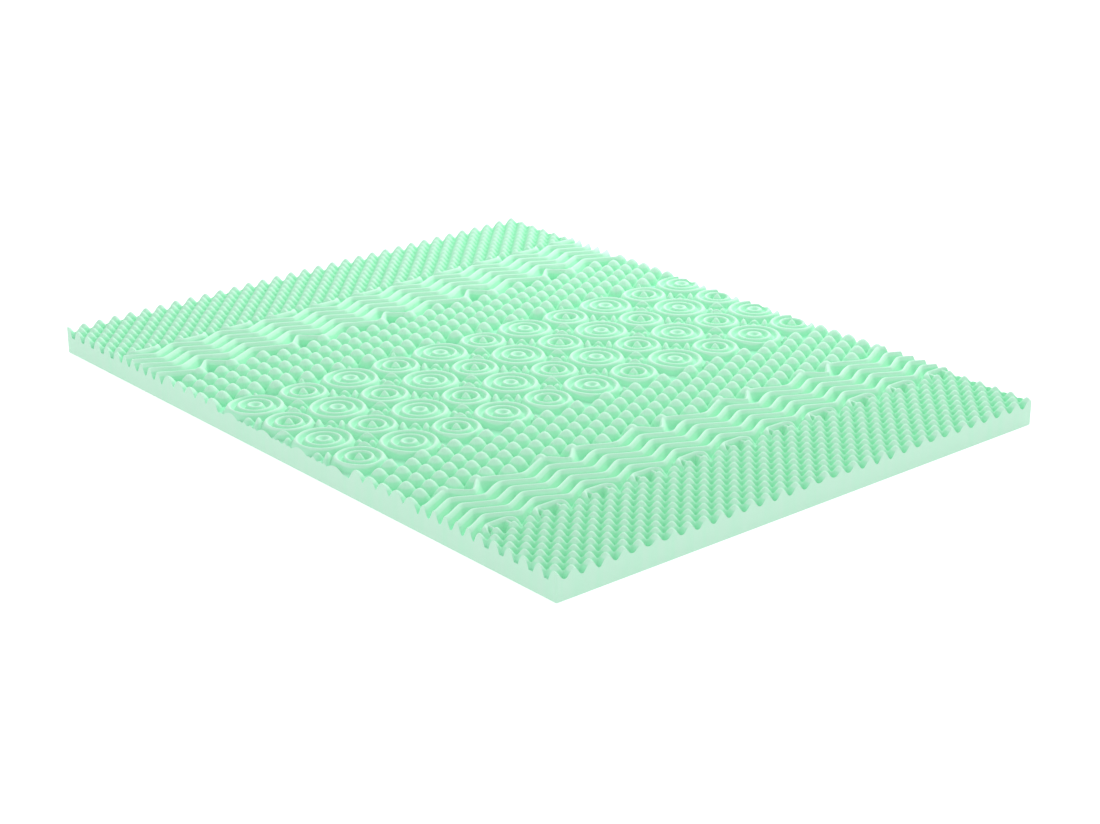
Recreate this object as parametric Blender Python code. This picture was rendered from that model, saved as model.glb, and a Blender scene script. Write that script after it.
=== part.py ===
"""Mattress topper: one slab of soft foam with seven bands of relief cut in its top.

The slab lies flat.  X runs across its width and Y along its length, in metres.
Seen from either end, the top has a band of pointed peaks, a band of zigzag
waves, a band of rounded domes, and rings in the middle.
"""

import bmesh
import bpy
import numpy as np

# Overall size
PITCH = 0.048                    # distance between neighbouring peaks across the width
WIDTH = 32.25 * PITCH            # along X
LENGTH = 2.008                   # along Y
VALLEY = 0.047                   # height of the lowest parts of the top
PEAK = 0.074                     # height of the peaks and waves
DOME = 0.077                     # height of the domes
DOME_VALLEY = 0.042              # the grooves between domes are cut deeper
RING = 0.068                     # height of the crests in the ring band

# Peaks: rows of points, each row half a pitch aside of the last
PEAK_FIRST = 0.0085              # first row, measured from the end of the slab
PEAK_ROW = 0.0495
PEAK_ROWS = 6

# Waves: ridges that zigzag across the width
WAVE_FIRST = 0.295               # first ridge, where its zigzag is nearest the end
WAVE_ROW = 0.040
WAVE_ROWS = 5
WAVE_SWING = 0.033               # how far a ridge swings along the length
WAVE_PERIOD = 3 * PITCH

# Domes: wide bumps, staggered like scales
DOME_FIRST = 0.5055
DOME_ROW = 0.0503
DOME_ROWS = 5
DOME_PERIOD = 2 * PITCH

# Rings: square cells, four across the middle of the length
RING_PERIOD = 3 * PITCH
RING_OFFSET = 0.5 * RING_PERIOD  # first ring centre, measured from the side
RING_ROWS = 4
RING_RADIUS = 0.052
RING_WAVE = 0.050                # distance between a ring's crest and the crest inside it

FOAM_COLOUR = (0.50, 0.88, 0.66, 1.0)


def swing(u):
    """Zigzag of the waves: 0 to 1 and back over one period, in straight runs."""
    turn = np.mod(u / WAVE_PERIOD, 1.0)
    return 1.0 - np.abs(2.0 * turn - 1.0)


def peaks(u, v):
    """Staggered points: the product of a cosine across and a cosine along."""
    across = np.cos(2.0 * np.pi * u / PITCH)
    along = np.cos(2.0 * np.pi * (v - PEAK_FIRST) / PEAK_ROW)
    return VALLEY + (PEAK - VALLEY) * 0.5 * (1.0 + across * along)


def waves(u, v):
    """Zigzag ridges: a cosine along the length, shifted by the swing."""
    along = np.cos(2.0 * np.pi * (v - WAVE_FIRST - WAVE_SWING * swing(u)) / WAVE_ROW)
    return VALLEY + (PEAK - VALLEY) * 0.5 * (1.0 + along)


def domes(u, v):
    """Staggered bumps, twice as wide as the peaks."""
    across = np.cos(2.0 * np.pi * u / DOME_PERIOD)
    along = np.cos(2.0 * np.pi * (v - DOME_FIRST) / DOME_ROW)
    return DOME_VALLEY + (DOME - DOME_VALLEY) * 0.5 * (1.0 + across * along)


def rings(u, v):
    """Round crests: a cosine of the distance to the nearest cell's centre."""
    first = 0.5 * LENGTH - 0.5 * (RING_ROWS - 1) * RING_PERIOD
    du = np.mod(u - RING_OFFSET + 0.5 * RING_PERIOD, RING_PERIOD) - 0.5 * RING_PERIOD
    dv = np.mod(v - first + 0.5 * RING_PERIOD, RING_PERIOD) - 0.5 * RING_PERIOD
    wave = np.cos(2.0 * np.pi * (np.hypot(du, dv) - RING_RADIUS) / RING_WAVE)
    return VALLEY + (RING - VALLEY) * (0.6 + 0.4 * wave)


def half_rows():
    """Rows of the top's grid from one end to the middle: a position and its zone.

    Each row runs through crests or through valleys.  The third value is how much
    of the waves' swing the row follows.
    """
    rows = [(0.0, peaks, 0.0)]
    for k in range(2 * PEAK_ROWS - 1):
        rows.append((PEAK_FIRST + 0.5 * PEAK_ROW * k, peaks, 0.0))
    for k in range(-1, 2 * WAVE_ROWS - 1):
        rows.append((WAVE_FIRST + 0.5 * WAVE_ROW * k, waves, 1.0))
    last_wave = rows[-1][0]
    rows.append((0.5 * (last_wave + DOME_FIRST), waves, 0.5))
    for k in range(2 * DOME_ROWS - 1):
        rows.append((DOME_FIRST + 0.5 * DOME_ROW * k, domes, 0.0))
    for k in range(2 * RING_ROWS - 1, 0, -1):
        rows.append((0.5 * LENGTH - 0.25 * RING_PERIOD * k, rings, 0.0))
    return rows


def grid_top():
    """Points of the top: columns every half pitch, rows mirrored about the middle."""
    u = np.append(np.arange(0.0, WIDTH - 0.1 * PITCH, 0.5 * PITCH), WIDTH)
    near = []
    for v, zone, follow in half_rows():
        line = v + follow * WAVE_SWING * swing(u)
        near.append((line, zone(u, line)))
    middle = np.full_like(u, 0.5 * LENGTH)
    far = [(LENGTH - line, height) for line, height in reversed(near)]
    lines = near + [(middle, rings(u, middle))] + far
    x = np.tile(u - 0.5 * WIDTH, (len(lines), 1))
    y = np.array([line for line, height in lines]) - 0.5 * LENGTH
    z = np.array([height for line, height in lines])
    return np.stack([x, y, z], axis=-1)


def split_cell(bm, a, b, c, d):
    """Two triangles for one cell of the top, split along its lower diagonal.

    The higher corners then stand up as points, as they do on the foam.
    """
    if a.co.z + c.co.z < b.co.z + d.co.z:
        a, b, c, d = b, c, d, a
    bm.faces.new((a, b, d))
    bm.faces.new((b, c, d))


def close_slab(bm, top):
    """Four flat walls and a flat bottom under the grid of top vertices."""
    corners = [(0, 0), (0, -1), (-1, -1), (-1, 0)]
    base = []
    for row, column in corners:
        place = top[row][column].co
        base.append(bm.verts.new((place.x, place.y, 0.0)))
    edges = [
        top[0],
        [row[-1] for row in top],
        top[-1][::-1],
        [row[0] for row in top][::-1],
    ]
    for k, edge in enumerate(edges):
        bm.faces.new([base[k], base[(k + 1) % 4]] + edge[::-1])
    bm.faces.new(base[::-1])


def foam_material():
    """Plain matte foam in pale mint green."""
    material = bpy.data.materials.new("mint_foam")
    material.use_nodes = True
    shader = material.node_tree.nodes["Principled BSDF"]
    shader.inputs["Base Color"].default_value = FOAM_COLOUR
    shader.inputs["Roughness"].default_value = 0.9
    shader.inputs["Metallic"].default_value = 0.0
    return material


def build_topper():
    """The whole slab as one closed solid, resting on Z = 0."""
    points = grid_top()
    bm = bmesh.new()
    top = [[bm.verts.new(place) for place in row] for row in points]
    for low, high in zip(top[:-1], top[1:]):
        for k in range(len(low) - 1):
            split_cell(bm, low[k], low[k + 1], high[k + 1], high[k])
    close_slab(bm, top)
    mesh = bpy.data.meshes.new("foam_topper")
    bm.to_mesh(mesh)
    bm.free()
    mesh.materials.append(foam_material())
    topper = bpy.data.objects.new("foam_topper", mesh)
    bpy.context.scene.collection.objects.link(topper)


for old in list(bpy.data.objects):
    bpy.data.objects.remove(old)
build_topper()
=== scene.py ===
"""Looks of a relief-cut foam mattress topper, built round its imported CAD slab.

The slab lies flat, X across its width, Y along its length, in metres.  Its top is
one height field: peaks at both ends, then zigzag waves, then domes, with rings in
the middle.  The field is cut into eight bands along the length, each one piece.
"""

import math

import bpy
import numpy as np
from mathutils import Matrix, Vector


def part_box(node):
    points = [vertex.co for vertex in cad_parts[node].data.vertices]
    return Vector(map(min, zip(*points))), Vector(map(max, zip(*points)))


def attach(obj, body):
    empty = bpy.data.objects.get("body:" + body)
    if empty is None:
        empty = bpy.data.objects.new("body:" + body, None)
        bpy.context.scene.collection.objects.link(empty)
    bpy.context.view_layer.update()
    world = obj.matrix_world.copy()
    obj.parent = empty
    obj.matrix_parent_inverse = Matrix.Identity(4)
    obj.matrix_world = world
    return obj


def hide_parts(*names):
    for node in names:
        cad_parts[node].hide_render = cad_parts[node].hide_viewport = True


bl_info = {
    "name": "Relief Foam Topper",
    "version": (1, 0, 0),
    "blender": (4, 5, 0),
    "location": "3D View > Sidebar > Topper",
    "description": "Builds a mattress topper of foam with bands of relief, and its stage",
    "category": "Add Mesh",
}

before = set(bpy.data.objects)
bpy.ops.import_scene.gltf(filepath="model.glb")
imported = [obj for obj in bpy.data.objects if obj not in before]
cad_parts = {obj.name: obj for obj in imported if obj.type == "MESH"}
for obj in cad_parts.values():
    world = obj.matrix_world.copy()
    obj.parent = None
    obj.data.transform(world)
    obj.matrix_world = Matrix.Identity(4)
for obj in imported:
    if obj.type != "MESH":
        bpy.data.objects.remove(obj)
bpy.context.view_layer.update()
SLAB_LOW, SLAB_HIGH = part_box("foam_topper")
WIDTH = SLAB_HIGH.x - SLAB_LOW.x
LENGTH = SLAB_HIGH.y - SLAB_LOW.y
NODE = "foam_topper"
BODY = "root"
FINISH = "mint_foam_finish"

PITCH = WIDTH / 32.25            # distance between neighbouring peaks across the width
CELL = 3.0 * PITCH               # period of the waves and of the ring cells

# Rows of the relief, measured along the length from either end
PEAK_FIRST = 0.0085
PEAK_ROW = 0.0495
PEAK_ROWS = 6
ARCH_ROW = 0.264                 # where the arches start to curve in
RIDGE_FIRST = 0.255              # the wave ridges are counted from here
RIDGE_ROW = 0.040
RIDGES = 5
LAST_CLIMB = 0.042               # how much further the last ridge climbs than the first
DOME_FIRST = 0.5030
DOME_ROW = 0.0503
DOME_ROWS = 5
DOME_RADIUS = 0.0305
STRAY_POINTS = ((0.116, 0.724), (0.262, 0.716))   # extra points, across and along
RING_ROWS = 4
RING_FIRST = 0.5 * LENGTH - 0.5 * (RING_ROWS - 1) * CELL
RING_OFFSET = 0.5 * CELL         # first ring centre, measured from the side

# Rings as (distance from the centre, level): crests, and the hollows between them
LARGE_RING = ((0.0, 0.55), (0.0175, 0.97), (0.0285, 0.40), (0.041, 0.98),
              (0.053, 0.42), (0.065, 1.0), (0.083, 0.0))
SMALL_RING = ((0.0, 0.0), (0.0175, 0.0), (0.032, 0.98), (0.0425, 0.42),
              (0.054, 1.0), (0.074, 0.0))
RING_FLOOR = 0.14                # level of the ground round the rings

# Distances from the near end at which one band gives way to the next
DOMES_FROM = 0.43
RINGS_FROM = 0.68

# Where the foam is divided into pieces, as distances from the near end
CUTS = (0.0, 0.270, 0.490, 0.718, 0.5 * LENGTH)


# ---------------------------------------------------------------- settings

class TopperRelief(bpy.types.PropertyGroup):
    """Heights and spacing of the relief."""

    grid: bpy.props.FloatProperty(
        name="Grid", description="Distance between neighbouring points of the surface",
        default=0.00267, min=0.001, unit="LENGTH")
    valley: bpy.props.FloatProperty(
        name="Valley", description="Height of the lowest parts of the top",
        default=0.047, unit="LENGTH")
    peak: bpy.props.FloatProperty(
        name="Peaks and waves", description="Relief of the peaks and waves above the valleys",
        default=0.0275, unit="LENGTH")
    dome: bpy.props.FloatProperty(
        name="Domes", description="Height of the domes above the grooves between them",
        default=0.0355, unit="LENGTH")
    groove: bpy.props.FloatProperty(
        name="Dome grooves", description="How far the dome grooves reach below the valleys",
        default=0.005, unit="LENGTH")
    ring: bpy.props.FloatProperty(
        name="Rings", description="Relief of the rings above the valleys",
        default=0.022, unit="LENGTH")
    swing: bpy.props.FloatProperty(
        name="Swing", description="How far a wave ridge swings along the length",
        default=0.033, unit="LENGTH")
    uneven: bpy.props.FloatProperty(
        name="Unevenness", description="How far the cut strays from its pattern",
        default=0.0012, unit="LENGTH")
    edge: bpy.props.FloatProperty(
        name="Edge", description="Radius of the upright corners and the lower edge",
        default=0.004, unit="LENGTH")


class TopperFinish(bpy.types.PropertyGroup):
    """Colours of the foam, with its painted shade and highlight, and its fine texture."""

    # Painted highlight: the paler colour given to the crests.
    crest_highlight: bpy.props.FloatVectorProperty(
        name="Crest", description="Colour of the foam on the crests",
        subtype="COLOR", size=3, min=0, max=1, default=(0.59, 0.94, 0.74))
    # The top's own colour half way down, with part of the painted shade of the hollows in it.
    slope: bpy.props.FloatVectorProperty(
        name="Slope", description="Colour of the foam half way down",
        subtype="COLOR", size=3, min=0, max=1, default=(0.43, 0.90, 0.62))
    # Painted shade: the greener, darker colour given to the hollows; the saw marks on the cut
    # sides are tinted with it too.
    hollow_shade_and_saw_mark: bpy.props.FloatVectorProperty(
        name="Hollow", description="Colour of the foam deep in the relief",
        subtype="COLOR", size=3, min=0, max=1, default=(0.33, 0.88, 0.56))
    cut: bpy.props.FloatVectorProperty(
        name="Cut side", description="Colour of the foam on the cut sides",
        subtype="COLOR", size=3, min=0, max=1, default=(0.55, 0.84, 0.67))
    pore: bpy.props.FloatProperty(
        name="Pore", description="Size of the foam's open cells",
        default=0.0011, unit="LENGTH")


class TopperStage(bpy.types.PropertyGroup):
    """Floor, light and camera."""

    floor: bpy.props.FloatVectorProperty(
        name="Floor", description="Colour of the floor",
        subtype="COLOR", size=3, min=0, max=1, default=(0.55, 0.55, 0.55))
    glow: bpy.props.FloatProperty(
        name="Floor glow", description="Light that the floor gives off", default=0.70)
    ambient: bpy.props.FloatProperty(
        name="Surround", description="Brightness of the white surround", default=0.78)
    softbox: bpy.props.FloatProperty(
        name="Softbox", description="Power of the softbox",
        default=145.0, unit="POWER")
    azimuth: bpy.props.FloatProperty(
        name="Azimuth", description="Direction the camera looks, turned from +Y to +X",
        default=math.radians(40.51), subtype="ANGLE")
    elevation: bpy.props.FloatProperty(
        name="Elevation", description="Angle of the camera above the floor",
        default=math.radians(21.57), subtype="ANGLE")
    camera: bpy.props.FloatVectorProperty(
        name="Camera", description="Place of the camera",
        subtype="XYZ", size=3, unit="LENGTH", default=(-3.712, -4.422, 2.214))
    lens: bpy.props.FloatProperty(
        name="Lens", description="Focal length on a 36 mm sensor, in mm", default=78.45)


# ---------------------------------------------------------------- the relief

def half_wave(turn):
    """A cosine from 1 at a whole turn to 0 at a half turn."""
    return 0.5 + 0.5 * np.cos(2.0 * np.pi * turn)


def hump(x):
    """A cosine squared bump: 1 at 0, falling to 0 at 1 and beyond."""
    return np.cos(0.5 * np.pi * np.clip(np.abs(x), 0.0, 1.0)) ** 2


def cone(r, tip=0.30):
    """A cone with a round tip: 1 at 0, and close to straight down to 0 at 1."""
    return 1.0 - (np.hypot(r, tip) - tip) / (math.hypot(1.0, tip) - tip)


def ramp(x, low, high):
    """0 up to low and 1 from high, with soft ends."""
    t = np.clip((x - low) / (high - low), 0.0, 1.0)
    return t * t * (3.0 - 2.0 * t)


def join(a, b, soft=0.10):
    """The higher of two surfaces, rounded where they meet."""
    part = np.clip(0.5 + 0.5 * (a - b) / soft, 0.0, 1.0)
    return a * part + b * (1.0 - part) + 0.5 * soft * part * (1.0 - part)


def from_nearest(x, period):
    """Distance to the nearest multiple of the period."""
    return np.abs(np.mod(x + 0.5 * period, period) - 0.5 * period)


def rounded(t, bend=0.93):
    """0 at 0 and 1 at 1, nearly straight, and level at both ends."""
    return 0.5 - 0.5 * np.arcsin(bend * np.cos(np.pi * t)) / math.asin(bend)


def from_lattice(x, y, across, along, rows):
    """Distances to the nearest point of a lattice, as parts of its two spacings, and
    the point's column and row.  The lattice has that many rows only."""
    column = np.round(x / across)
    row = np.clip(np.round(y / along), 0, rows - 1)
    return x / across - column, y / along - row, column, row


def peak_field(u, w):
    """Two lattices of points, the second set half a step aside and along: the product
    of a wave across and a wave along, with a little of a round hump at each point."""
    columns, points = 0.0, 0.0
    for aside in (0.0, 0.5):
        x, y, _, _ = from_lattice(
            u - aside * PITCH, w - PEAK_FIRST + aside * PEAK_ROW, PITCH, PEAK_ROW, PEAK_ROWS)
        columns = columns + half_wave(x) * half_wave(np.clip(y, -0.5, 0.5))
        points = np.maximum(points, hump(2.0 * np.hypot(x, y)))
    field = 0.75 * columns + 0.25 * points
    return np.clip((field - 0.20) / 0.80, 0.0, 1.0) ** 0.65


def ridge_number(u, w, swing):
    """Which ridge a point is on: whole numbers on crests, halves in valleys.

    The ridges are parallel zigzags, but for the last.  It climbs further where it meets
    the domes, so the count is stretched between it and the one before.
    """
    line = RIDGE_FIRST + swing * rounded(from_nearest(u, CELL) * 2.0 / CELL)
    before = line + (RIDGES - 1) * RIDGE_ROW
    x = from_nearest(u, 2.0 * CELL)
    climb = rounded(np.where(x < 2.0 * PITCH, x / (2.0 * PITCH), (CELL - x) / PITCH))
    last = RIDGE_FIRST + RIDGES * RIDGE_ROW + LAST_CLIMB * climb
    number = (w - line) / RIDGE_ROW
    number = np.where(w > before, RIDGES - 1 + (w - before) / (last - before), number)
    return np.where(w > last, RIDGES + (w - last) / RIDGE_ROW, number)


def wave_field(u, w, swing):
    """The ridges, and before them broad arches, each with two of the last peaks under
    it, joined to it by short legs."""
    number = ridge_number(u, w, swing)
    field = half_wave(np.clip(number, 0.5, RIDGES + 0.5))
    x = from_nearest(u - 0.5 * CELL, CELL)
    off = np.hypot(np.maximum(x - 0.020, 0.0), np.maximum(w - ARCH_ROW, 0.0)) - 0.022
    arch = hump(off / np.where(off > 0.0, 0.022, 0.014)) * ramp(w, 0.240, 0.276)
    leg = 0.85 * hump((x - 0.023) / 0.011) * ramp(w, 0.246, 0.256) * ramp(w, 0.294, 0.278)
    return join(field, join(arch, leg, 0.2))


def dome_field(u, w):
    """Round-tipped cones packed like scales, in two lattices; the second is half a step
    aside and along, and has one row fewer.  Small extra points stand by the rings."""
    field = np.zeros_like(u)
    for aside, rows in ((0.0, DOME_ROWS), (0.5, DOME_ROWS - 1)):
        x, y, _, _ = from_lattice(
            u - aside * 2.0 * PITCH, w - DOME_FIRST - aside * DOME_ROW,
            2.0 * PITCH, DOME_ROW, rows)
        reach = np.hypot(2.0 * PITCH * x, DOME_ROW * y)
        field = join(field, cone(reach / DOME_RADIUS, 0.80), 0.05)
    for place, along in STRAY_POINTS:
        aside = from_nearest(u - place, 2.0 * CELL)
        field = join(field, 0.75 * hump(np.hypot(aside, w - along) / 0.018), 0.06)
    return field


def turned_profile(distance, profile):
    """A profile turned round a centre: cosine steps from level to level at each stop."""
    stops, levels = zip(*profile)
    place = np.interp(distance, stops, np.arange(len(stops), dtype=float))
    low = np.minimum(place.astype(int), len(stops) - 2)
    step = 0.5 - 0.5 * np.cos(np.pi * (place - low))
    level = np.array(levels)
    return level[low] + (level[low + 1] - level[low]) * step


def ring_distance(u, v, odd):
    """Distance to the nearest ring centre of one kind on a chequered grid of cells.

    odd is 1 for the large rings and 0 for the small ones.  Where the nearest centre
    is of the other kind, the next one sideways or lengthways is taken.
    """
    x = (u - RING_OFFSET) / CELL
    y = (v - RING_FIRST) / CELL
    column = np.round(x)
    row = np.clip(np.round(y), 0, RING_ROWS - 1)
    dx, dy = x - column, y - row
    other = np.mod(column + row, 2) != odd
    next_row = row + np.sign(dy)
    inside = (next_row >= 0) & (next_row <= RING_ROWS - 1)
    sideways = (np.abs(dx) > np.abs(dy)) | ~inside
    dx = np.where(other & sideways, dx - np.where(dx < 0, -1.0, 1.0), dx)
    dy = np.where(other & ~sideways, dy - np.where(dy < 0, -1.0, 1.0), dy)
    return CELL * np.hypot(dx, dy)


def ring_field(u, v):
    """Large rings of three crests round a dimple, small ones of two round a cone, and
    the bars and bumps in the gaps between four of them."""
    large = turned_profile(ring_distance(u, v, 1), LARGE_RING)
    from_small = ring_distance(u, v, 0)
    small = join(turned_profile(from_small, SMALL_RING), 1.25 * cone(from_small / 0.019))
    rings = join(join(large, small), RING_FLOOR)

    x, y, column, row = from_lattice(
        u - RING_OFFSET - 0.5 * CELL, v - RING_FIRST - 0.5 * CELL, CELL, CELL, RING_ROWS - 1)
    turned = np.mod(column + row, 2) == 1
    to_small = CELL * np.where(turned, x - y, x + y) / math.sqrt(2.0)
    to_large = CELL * np.where(turned, x + y, x - y) / math.sqrt(2.0)
    bars = hump((np.abs(to_small) - 0.028) / 0.016) * hump(to_large / 0.032) ** 0.7
    bumps = hump(np.hypot(0.8 * to_small, np.abs(to_large) - 0.016) / 0.019)
    return join(join(rings, 1.18 * bars), 0.85 * bumps)


def stray(u, v, seed):
    """Slow waviness between -1 and 1: four sines of different lengths and headings."""
    total = np.zeros_like(u)
    for k, length in enumerate((0.43, 0.27, 0.17, 0.11)):
        turn = seed * 1.7 + k * 2.4
        total += np.sin(2.0 * np.pi * (u * math.cos(turn) + v * math.sin(turn)) / length + turn)
    return total / 4.0


def top_height(u, v, relief):
    """Height of the top at u across and v along: each band's field times its relief,
    the highest taken where two bands meet."""
    su = u + relief.uneven * stray(u, v, 1)
    sv = v + relief.uneven * stray(u, v, 2)
    w = np.minimum(sv, LENGTH - sv)
    taller = 1.0 + 0.12 * ramp(w, 0.46, 0.49)
    rise = relief.peak * taller * join(peak_field(su, w), wave_field(su, w, relief.swing))
    domes = relief.dome * dome_field(su, w) - relief.groove
    sunk = rise - relief.groove * ramp(w, 0.44, 0.50)
    rise = np.where(w > DOMES_FROM, join(sunk, domes, 0.002), rise)
    rings = ring_field(su, sv) * relief.ring - relief.groove * ramp(w, 0.76, 0.70)
    rise = np.where(w > RINGS_FROM, join(rise, rings, 0.002), rise)
    return relief.valley + rise * (1.0 + 0.03 * stray(u, v, 3))


# ---------------------------------------------------------------- the surface

def round_corners(x, y, radius):
    """Moves points near an upright corner so that the corner is a quarter circle.

    Inside the corner square, a point's distance from the square's inner corner is
    cut from the length of its longer side to a radius.
    """
    dx = radius - (0.5 * WIDTH - np.abs(x))
    dy = radius - (0.5 * LENGTH - np.abs(y))
    near = (dx > 0) & (dy > 0)
    scale = np.where(near, np.maximum(dx, dy) / np.maximum(np.hypot(dx, dy), 1e-9), 1.0)
    nx = np.where(near, 0.5 * WIDTH - radius + dx * scale, np.abs(x))
    ny = np.where(near, 0.5 * LENGTH - radius + dy * scale, np.abs(y))
    return np.copysign(nx, x), np.copysign(ny, y)


def surface_normals(points, along=0, across=1):
    """Unit normals of a grid: the cross product of its two directions."""
    a = np.gradient(points, axis=across)
    b = np.gradient(points, axis=along)
    normal = np.cross(a, b)
    return normal / np.linalg.norm(normal, axis=-1, keepdims=True)


def blurred(field, reach):
    """The field averaged over a square window three times, which is nearly a Gaussian."""
    for _ in range(3):
        for axis in (0, 1):
            pad = [(reach + 1, reach) if k == axis else (0, 0) for k in (0, 1)]
            total = np.cumsum(np.pad(field, pad, mode="reflect"), axis=axis)
            ahead = np.take(total, np.arange(2 * reach + 1, total.shape[axis]), axis=axis)
            behind = np.take(total, np.arange(0, total.shape[axis] - 2 * reach - 1), axis=axis)
            field = (ahead - behind) / (2 * reach + 1)
    return field


class Slab:
    """The whole slab as two grids: its top, and a wall that runs round its outline."""

    def __init__(self, relief):
        self.columns = int(round(WIDTH / relief.grid))
        self.rows = 2 * int(round(0.5 * LENGTH / relief.grid))
        u = np.linspace(0.0, WIDTH, self.columns + 1)
        v = np.linspace(0.0, LENGTH, self.rows + 1)
        uu, vv = np.meshgrid(u, v)
        height = top_height(uu, vv, relief)
        x, y = round_corners(uu - 0.5 * WIDTH, vv - 0.5 * LENGTH, relief.edge)
        self.top = np.stack([x, y, height], axis=-1)
        self.top_normal = surface_normals(self.top)
        # level and depth steer the foam's colour: painted shade low in the relief and in
        # cavities, painted highlight on points that stand above their surroundings.
        self.level = (height - relief.valley) / relief.peak
        self.depth = (blurred(height, 5) - height) / relief.peak
        self.make_wall(relief)

    def make_wall(self, relief):
        """A profile carried round the outline: straight down, then a rounded foot."""
        rows, columns = self.rows, self.columns
        down, up = np.arange(rows, 0, -1), np.arange(rows)
        right, left = np.arange(columns), np.arange(columns, 0, -1)
        row = np.concatenate([down, np.zeros(columns, int), up, np.full(columns, rows)])
        column = np.concatenate([np.zeros(rows, int), right, np.full(rows, columns), left])
        self.path = np.stack([row, column], axis=-1)
        rim = self.top[row, column]
        ahead = np.roll(rim, -1, axis=0) - np.roll(rim, 1, axis=0)
        out = np.stack([ahead[:, 1], -ahead[:, 0], np.zeros(len(rim))], axis=-1)
        out = out / np.linalg.norm(out, axis=-1, keepdims=True)
        foot = relief.edge
        rings, normals = [rim], [out]
        for part in (0.25, 0.5, 0.75, 1.0):
            ring = rim.copy()
            ring[:, 2] += (foot - rim[:, 2]) * part
            rings.append(ring)
            normals.append(out)
        for turn in (0.5, 1.0):
            angle = turn * 0.5 * math.pi
            ring = rim - out * foot * (1.0 - math.cos(angle))
            ring[:, 2] = foot * (1.0 - math.sin(angle))
            rings.append(ring)
            normals.append(out * math.cos(angle) - np.array([0.0, 0.0, math.sin(angle)]))
        self.wall = np.stack(rings, axis=1)
        self.wall_normal = np.stack(normals, axis=1)

    def runs(self, first, last):
        """Stretches of the outline that belong to the rows from first to last."""
        around = len(self.path)
        left = (self.rows - last, self.rows - first)
        right = (self.rows + self.columns + first, self.rows + self.columns + last)
        if first == 0:
            return [np.arange(left[0], right[1] + 1)]
        if last == self.rows:
            return [np.mod(np.arange(right[0], around + left[1] + 1), around)]
        return [np.arange(left[0], left[1] + 1), np.arange(right[0], right[1] + 1)]


def grid_faces(index):
    """Quads of a grid of vertex numbers, turned to face the side that its rows and
    columns go round anticlockwise."""
    quads = [index[:-1, :-1], index[:-1, 1:], index[1:, 1:], index[1:, :-1]]
    return np.stack(quads, axis=-1).reshape(-1, 4)


def band_mesh(name, slab, first, last):
    """One band of the slab: its part of the top, of the wall and of the underside.

    Both ends are open, and meet the next band's vertices exactly.
    """
    top = slab.top[first:last + 1]
    count = top.shape[0] * top.shape[1]
    top_index = np.arange(count).reshape(top.shape[:2])
    points, normals = [top.reshape(-1, 3)], [slab.top_normal[first:last + 1].reshape(-1, 3)]
    quads, corner_source = [grid_faces(top_index)], []
    base = []
    wall_start = count
    for run in slab.runs(first, last):
        below = slab.wall[run, 1:]
        row, column = slab.path[run].T
        rim = top_index[row - first, column]
        index = wall_start + np.arange(below.shape[0] * below.shape[1])
        index = np.concatenate([rim[:, None], index.reshape(below.shape[:2])], axis=1)
        points.append(below.reshape(-1, 3))
        wall_start += below.shape[0] * below.shape[1]
        quads.append(grid_faces(index))
        corner_source.append(grid_faces(
            np.arange(slab.wall[run].shape[0] * slab.wall[run].shape[1]).reshape(index.shape)))
        normals.append(slab.wall_normal[run].reshape(-1, 3))
        base.append(index[:, -1])
    points = np.concatenate(points)
    under = np.concatenate(base)[::-1]
    loops = np.concatenate([quad.reshape(-1) for quad in quads] + [under])
    sizes = np.concatenate([np.full(sum(len(quad) for quad in quads), 4), [len(under)]])

    mesh = bpy.data.meshes.new(name)
    mesh.vertices.add(len(points))
    mesh.vertices.foreach_set("co", points.astype(np.float32).reshape(-1))
    mesh.loops.add(len(loops))
    mesh.loops.foreach_set("vertex_index", loops.astype(np.int32))
    mesh.polygons.add(len(sizes))
    starts = np.concatenate([[0], np.cumsum(sizes)[:-1]])
    mesh.polygons.foreach_set("loop_start", starts.astype(np.int32))
    mesh.polygons.foreach_set("use_smooth", np.ones(len(sizes), bool))
    mesh.update(calc_edges=True)

    corner = [normals[0][quads[0].reshape(-1)]]
    for source, wall in zip(corner_source, normals[1:]):
        corner.append(wall[source.reshape(-1)])
    corner.append(np.tile([0.0, 0.0, -1.0], (len(under), 1)))
    mesh.normals_split_custom_set(np.concatenate(corner).tolist())

    # Corner attributes for the colour, which paints shade and highlight from level and depth; the
    # cut sides get level 1, depth 0 and cut 1.
    on_top = quads[0].size
    for label, values, elsewhere in (
            ("level", slab.level, 1.0), ("depth", slab.depth, 0.0), ("cut", None, 1.0)):
        layer = np.full(len(loops), elsewhere, np.float32)
        if values is None:
            layer[:on_top] = 0.0
        else:
            layer[:on_top] = values[first:last + 1].reshape(-1)[quads[0].reshape(-1)]
        mesh.attributes.new(label, "FLOAT", "CORNER").data.foreach_set("value", layer)
    return mesh


# ---------------------------------------------------------------- the foam

def put(tree, kind, inputs=(), **settings):
    """Adds a node, sets its properties, and fills its sockets with values or links."""
    node = tree.nodes.new(kind)
    for key, value in settings.items():
        setattr(node, key, value)
    for socket, value in dict(inputs).items():
        if isinstance(value, bpy.types.NodeSocket):
            tree.links.new(value, node.inputs[socket])
        else:
            node.inputs[socket].default_value = value
    return node


def mixed(tree, factor, first, second):
    """A colour between two."""
    node = put(tree, "ShaderNodeMix", data_type="RGBA")
    for socket, value in ((0, factor), (6, first), (7, second)):
        if isinstance(value, bpy.types.NodeSocket):
            tree.links.new(value, node.inputs[socket])
        else:
            node.inputs[socket].default_value = value
    return node.outputs[2]


def ramped(tree, value, low, high):
    """The value stretched so that low becomes 0 and high becomes 1, with soft ends."""
    node = put(tree, "ShaderNodeMapRange",
               {"Value": value, "From Min": low, "From Max": high},
               interpolation_type="SMOOTHSTEP")
    return node.outputs["Result"]


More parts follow.
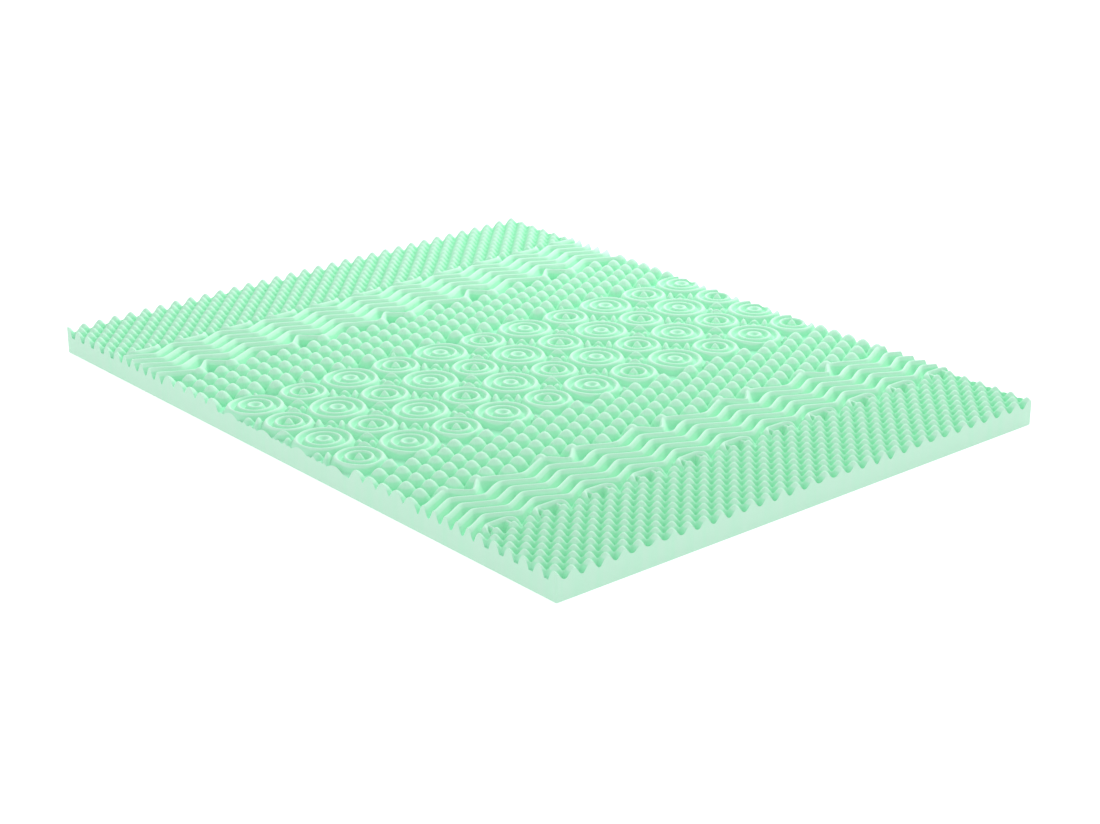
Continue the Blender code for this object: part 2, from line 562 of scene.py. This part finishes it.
def foam_cells_group():
    """Node group: open cells of the foam as pits, and a soft mottling of its colour."""
    group = bpy.data.node_groups.new("FoamCells", "ShaderNodeTree")
    group.interface.new_socket("Pore", in_out="INPUT", socket_type="NodeSocketFloat")
    group.interface.new_socket("Pits", in_out="OUTPUT", socket_type="NodeSocketFloat")
    group.interface.new_socket("Mottle", in_out="OUTPUT", socket_type="NodeSocketFloat")
    into = group.nodes.new("NodeGroupInput")
    out = group.nodes.new("NodeGroupOutput")
    place = put(group, "ShaderNodeTexCoord").outputs["Object"]
    fine = put(group, "ShaderNodeMath", {0: 1.0, 1: into.outputs["Pore"]}, operation="DIVIDE")
    cells = put(group, "ShaderNodeTexVoronoi",
                {"Vector": place, "Scale": fine.outputs[0], "Randomness": 1.0})
    slow = put(group, "ShaderNodeTexNoise",
               {"Vector": place, "Scale": 9.0, "Detail": 4.0, "Roughness": 0.6})
    group.links.new(cells.outputs["Distance"], out.inputs["Pits"])
    group.links.new(slow.outputs["Fac"], out.inputs["Mottle"])
    return group


def foam_material(finish):
    """Matte mint foam: painted highlight makes the crests pale and painted shade makes the
    slopes and hollows greener; pale cut sides with faint upright saw marks, and fine open cells."""
    material = bpy.data.materials.new(FINISH)
    material.use_nodes = True
    tree = material.node_tree
    shader = tree.nodes["Principled BSDF"]
    level = put(tree, "ShaderNodeAttribute", attribute_name="level").outputs["Fac"]
    depth = put(tree, "ShaderNodeAttribute", attribute_name="depth").outputs["Fac"]
    cut = put(tree, "ShaderNodeAttribute", attribute_name="cut").outputs["Fac"]
    cells = put(tree, "ShaderNodeGroup", node_tree=foam_cells_group())
    cells.inputs["Pore"].default_value = finish.pore

    # Painted shade: greener and darker low in the relief, up to the slope colour higher up.
    colour = mixed(tree, ramped(tree, level, -0.1, 0.45), (*finish.hollow_shade_and_saw_mark, 1), (*finish.slope, 1))
    # Painted highlight: points above their blurred surroundings turn to the paler colour of the
    # crests.
    colour = mixed(tree, ramped(tree, depth, -0.05, -0.22), colour, (*finish.crest_highlight, 1))
    colour = mixed(tree, cut, colour, (*finish.cut, 1))

    # Faint upright saw marks on the cut sides, tinted towards the colour of the hollows.
    place = put(tree, "ShaderNodeTexCoord").outputs["Object"]
    upright = put(tree, "ShaderNodeMapping", {"Vector": place, "Scale": (30.0, 30.0, 1.2)})
    marks = put(tree, "ShaderNodeTexNoise",
                {"Vector": upright.outputs["Vector"], "Scale": 1.0, "Detail": 5.0,
                 "Roughness": 0.65})
    mark = ramped(tree, marks.outputs["Fac"], 0.35, 0.75)
    mark = put(tree, "ShaderNodeMath", {0: mark, 1: cut}, operation="MULTIPLY").outputs[0]
    shade = put(tree, "ShaderNodeMath", {0: mark, 1: 0.22}, operation="MULTIPLY").outputs[0]
    colour = mixed(tree, shade, colour, (*finish.hollow_shade_and_saw_mark, 1))
    mottle = ramped(tree, cells.outputs["Mottle"], 0.3, 0.8)
    mottle = put(tree, "ShaderNodeMath", {0: mottle, 1: 0.10}, operation="MULTIPLY").outputs[0]
    colour = mixed(tree, mottle, colour, (*finish.slope, 1))
    tree.links.new(colour, shader.inputs["Base Color"])

    height = put(tree, "ShaderNodeMath", {0: cells.outputs["Pits"], 1: mark}, operation="ADD")
    bump = put(tree, "ShaderNodeBump",
               {"Strength": 0.25, "Distance": 0.0004, "Height": height.outputs[0]})
    tree.links.new(bump.outputs["Normal"], shader.inputs["Normal"])
    shader.inputs["Roughness"].default_value = 0.95
    shader.inputs["Specular IOR Level"].default_value = 0.15
    shader.inputs["Sheen Weight"].default_value = 0.30
    shader.inputs["Sheen Roughness"].default_value = 0.6
    return material


def add_band(context, name, slab, first, last):
    """Adds one band of foam, riding on the slab's body in place of its plain solid."""
    mesh = band_mesh(name, slab, first, last)
    mesh.materials.append(
        bpy.data.materials.get(FINISH) or foam_material(context.scene.topper_finish))
    piece = bpy.data.objects.new(name, mesh)
    context.scene.collection.objects.link(piece)
    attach(piece, BODY)
    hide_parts(NODE)
    return piece


SLABS = {}


def whole_slab(context):
    """The slab's grids, worked out once for all bands."""
    if "slab" not in SLABS:
        SLABS["slab"] = Slab(context.scene.topper_relief)
    return SLABS["slab"]


def add_pair(context, name, k):
    """The band between cuts k and k + 1, and its mirror at the far end."""
    slab = whole_slab(context)
    first = int(round(CUTS[k] / LENGTH * slab.rows))
    last = int(round(CUTS[k + 1] / LENGTH * slab.rows))
    if not 0 <= first < last <= slab.rows:
        raise RuntimeError(f"the {name} band has no rows")
    add_band(context, name + "_near", slab, first, last)
    add_band(context, name + "_far", slab, slab.rows - last, slab.rows - first)


# ---------------------------------------------------------------- operators

class TOPPER_OT_peaks(bpy.types.Operator):
    """Add the two end bands of pointed peaks"""

    bl_idname = "topper.peaks"
    bl_label = "Peaks"

    def execute(self, context):
        add_pair(context, "foam_peaks", 0)
        return {"FINISHED"}


class TOPPER_OT_waves(bpy.types.Operator):
    """Add the two bands of zigzag waves"""

    bl_idname = "topper.waves"
    bl_label = "Waves"

    def execute(self, context):
        add_pair(context, "foam_waves", 1)
        return {"FINISHED"}


class TOPPER_OT_domes(bpy.types.Operator):
    """Add the two bands of rounded domes"""

    bl_idname = "topper.domes"
    bl_label = "Domes"

    def execute(self, context):
        add_pair(context, "foam_domes", 2)
        return {"FINISHED"}


class TOPPER_OT_rings(bpy.types.Operator):
    """Add the middle band of rings, in two halves"""

    bl_idname = "topper.rings"
    bl_label = "Rings"

    def execute(self, context):
        add_pair(context, "foam_rings", 3)
        return {"FINISHED"}


class TOPPER_OT_stage(bpy.types.Operator):
    """Add the floor, the light and the camera"""

    bl_idname = "topper.stage"
    bl_label = "Stage"

    def execute(self, context):
        stage = context.scene.topper_stage
        scene = context.scene
        add_floor(scene, stage)
        add_light(scene, stage)
        add_camera(scene, stage)
        scene.view_settings.view_transform = "Standard"
        return {"FINISHED"}


def add_floor(scene, stage):
    """A large flat sheet under the slab, in a plain pale finish."""
    mesh = bpy.data.meshes.new("floor")
    half = 15.0
    corners = [(-half, -half, 0.0), (half, -half, 0.0), (half, half, 0.0), (-half, half, 0.0)]
    mesh.from_pydata(corners, [], [(0, 1, 2, 3)])
    material = bpy.data.materials.new("pale_floor")
    material.use_nodes = True
    shader = material.node_tree.nodes["Principled BSDF"]
    shader.inputs["Base Color"].default_value = (*stage.floor, 1.0)
    shader.inputs["Roughness"].default_value = 0.9
    shader.inputs["Specular IOR Level"].default_value = 0.1
    shader.inputs["Emission Color"].default_value = (1.0, 1.0, 1.0, 1.0)
    shader.inputs["Emission Strength"].default_value = stage.glow
    mesh.materials.append(material)
    floor = bpy.data.objects.new("floor", mesh)
    scene.collection.objects.link(floor)


def add_light(scene, stage):
    """A white surround, and one large softbox high on the right."""
    world = bpy.data.worlds.new("surround")
    world.use_nodes = True
    background = world.node_tree.nodes["Background"]
    background.inputs["Color"].default_value = (1.0, 1.0, 1.0, 1.0)
    background.inputs["Strength"].default_value = stage.ambient
    scene.world = world
    lamp = bpy.data.lights.new("softbox", "AREA")
    lamp.shape = "RECTANGLE"
    lamp.size, lamp.size_y = 2.2, 2.2
    lamp.energy = stage.softbox
    light = bpy.data.objects.new("softbox", lamp)
    light.location = (3.3, 1.6, 3.3)
    aim = Vector((0.0, 0.0, 0.0)) - light.location
    light.rotation_mode = "QUATERNION"
    light.rotation_quaternion = aim.to_track_quat("-Z", "Y")
    scene.collection.objects.link(light)


def add_camera(scene, stage):
    """A long lens from above the near corner."""
    data = bpy.data.cameras.new("camera")
    data.lens = stage.lens
    data.sensor_width = 36.0
    data.clip_end = 60.0
    camera = bpy.data.objects.new("camera", data)
    camera.location = stage.camera
    heading, tilt = stage.azimuth, stage.elevation
    look = Vector((math.sin(heading) * math.cos(tilt), math.cos(heading) * math.cos(tilt),
                   -math.sin(tilt)))
    camera.rotation_mode = "QUATERNION"
    camera.rotation_quaternion = look.to_track_quat("-Z", "Y")
    scene.collection.objects.link(camera)
    scene.camera = camera


class TOPPER_PT_panel(bpy.types.Panel):
    """Sizes, colours and buttons of the topper"""

    bl_idname = "TOPPER_PT_panel"
    bl_label = "Topper"
    bl_space_type = "VIEW_3D"
    bl_region_type = "UI"
    bl_category = "Topper"

    def draw(self, context):
        for group in (context.scene.topper_relief, context.scene.topper_finish,
                      context.scene.topper_stage):
            box = self.layout.box()
            for key in group.__annotations__:
                box.prop(group, key)
        for operator in OPERATORS:
            self.layout.operator(operator.bl_idname)


GROUPS = {"topper_relief": TopperRelief, "topper_finish": TopperFinish,
          "topper_stage": TopperStage}
OPERATORS = (TOPPER_OT_peaks, TOPPER_OT_waves, TOPPER_OT_domes, TOPPER_OT_rings,
             TOPPER_OT_stage)


def register():
    """Registers the settings, the operators and the panel."""
    for name, group in GROUPS.items():
        bpy.utils.register_class(group)
        setattr(bpy.types.Scene, name, bpy.props.PointerProperty(type=group))
    for cls in (*OPERATORS, TOPPER_PT_panel):
        bpy.utils.register_class(cls)


def unregister():
    """Undoes register."""
    for cls in (TOPPER_PT_panel, *reversed(OPERATORS)):
        bpy.utils.unregister_class(cls)
    for name, group in GROUPS.items():
        delattr(bpy.types.Scene, name)
        bpy.utils.unregister_class(group)


def main():
    """Builds the stage and the topper."""
    register()
    bpy.ops.topper.stage()
    bpy.ops.topper.peaks()
    bpy.ops.topper.waves()
    bpy.ops.topper.domes()
    bpy.ops.topper.rings()


if __name__ == "__main__":
    main()
